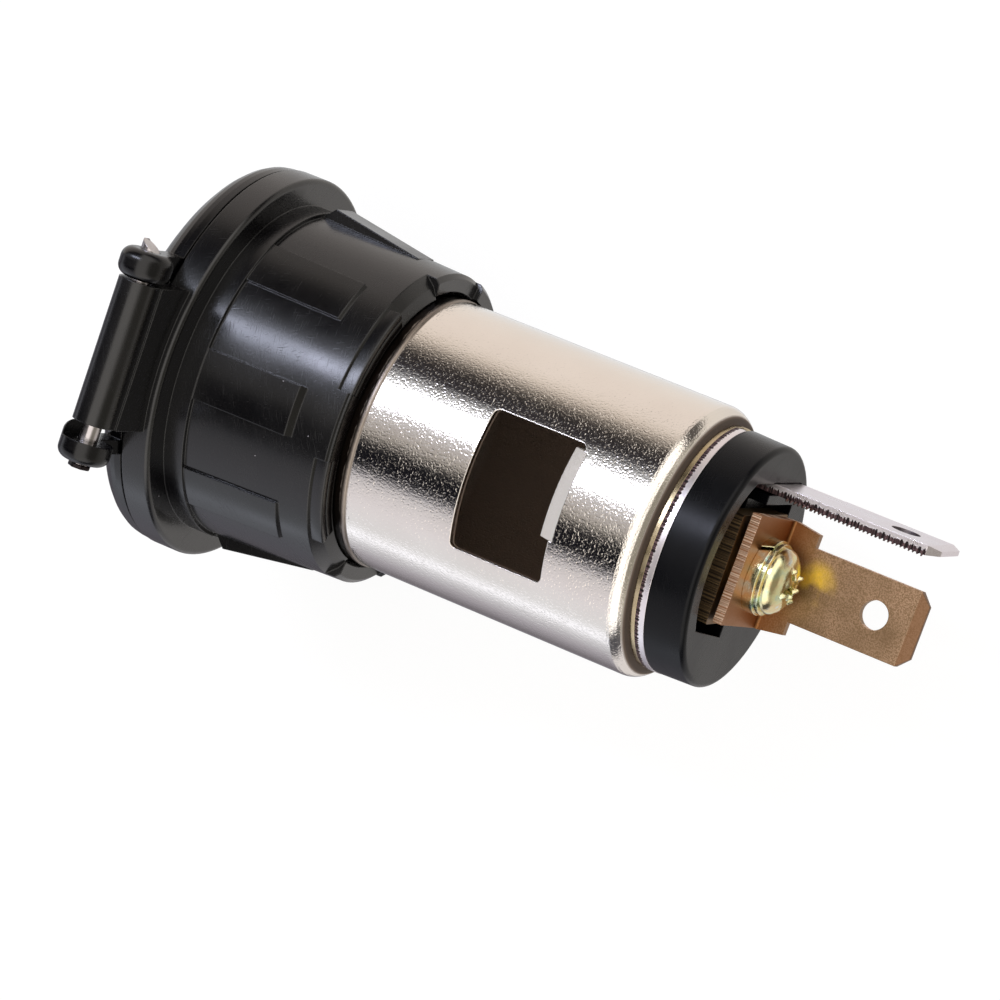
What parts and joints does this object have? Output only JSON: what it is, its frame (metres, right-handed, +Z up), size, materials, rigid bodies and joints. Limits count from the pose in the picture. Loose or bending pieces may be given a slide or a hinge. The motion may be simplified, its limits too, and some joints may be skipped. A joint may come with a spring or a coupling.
{
  "type": "car 12v power socket",
  "caption": "Panel-mounted 12 V power socket with a hinged domed cover, a nickel-plated sleeve in a black collar, and two flat blade terminals at its rear.",
  "frame": {"origin": "on the plug axis, in the plane of the flange's back face, where it seats on the panel", "axes": "+Y along the plug axis to the terminals behind the panel, +Z up to the cover's hinge, +X to the right as seen from the front"},
  "size_m": [0.033, 0.0684, 0.0404],
  "materials": {
    "black_nylon": "satin black moulded nylon",
    "cover_nylon": "satin black moulded nylon",
    "cap_nylon": "satin black moulded nylon",
    "pin_steel": "bright drawn steel",
    "nickel_plate": "polished nickel plate",
    "brass_ring": "thin rolled brass",
    "tinned_sheet": "satin tin plate",
    "plate_brass": "blanked brass with a dull edge",
    "terminal_brass": "rolled brass, satin",
    "zinc_steel": "yellow-green passivated zinc",
    "phenolic": "brown laminate"
  },
  "bodies": {
    "socket": {"housing": "black_nylon", "hinge_pin": "pin_steel", "sleeve": "nickel_plate", "shim_ring": "brass_ring", "ground_terminal": "tinned_sheet", "end_cap": "cap_nylon", "contact_plate": "plate_brass", "live_terminal": "terminal_brass", "spring_washer": "zinc_steel", "flat_washer": "zinc_steel", "terminal_screw": "zinc_steel", "inner_insulator": "phenolic", "centre_contact": "terminal_brass", "contact_rivet": "terminal_brass"},
    "cover": {"lid": "cover_nylon"}
  },
  "joints": [
    {"name": "lid_hinge", "type": "hinge", "parent": "socket", "child": "cover", "pos_m": [0, -0.0026, 0.0204], "axis": [-1, 0, 0], "range_deg": [0, 150]}
  ]
}
